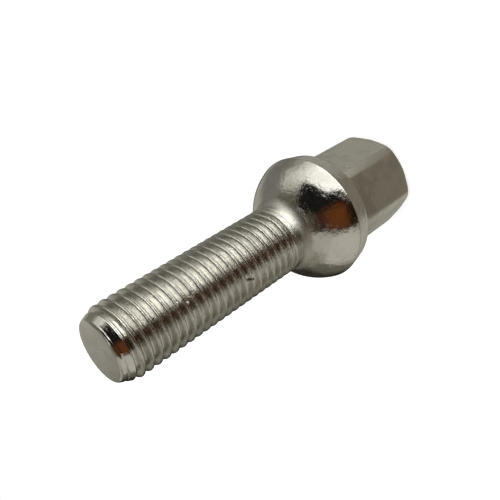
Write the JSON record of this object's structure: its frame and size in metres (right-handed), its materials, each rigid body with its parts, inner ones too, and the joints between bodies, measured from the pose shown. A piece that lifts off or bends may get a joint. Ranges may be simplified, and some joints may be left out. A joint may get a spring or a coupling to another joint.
{
  "type": "wheel bolt",
  "caption": "Wheel bolt with a right-hand metric fine thread, a ball seat collar and a hexagon head, forged in one piece and plated.",
  "frame": {"origin": "centre of the flat end of the hexagon head, on the bolt's axis", "axes": "+Z along the bolt's axis from the head towards the threaded tip; a corner of the hexagon points along +X"},
  "size_m": [0.0228, 0.0228, 0.0635],
  "materials": {
    "plated_steel": "satin to bright nickel plating over forged and rolled steel"
  },
  "bodies": {
    "root": {"wheel_bolt": "plated_steel"}
  },
  "joints": []
}
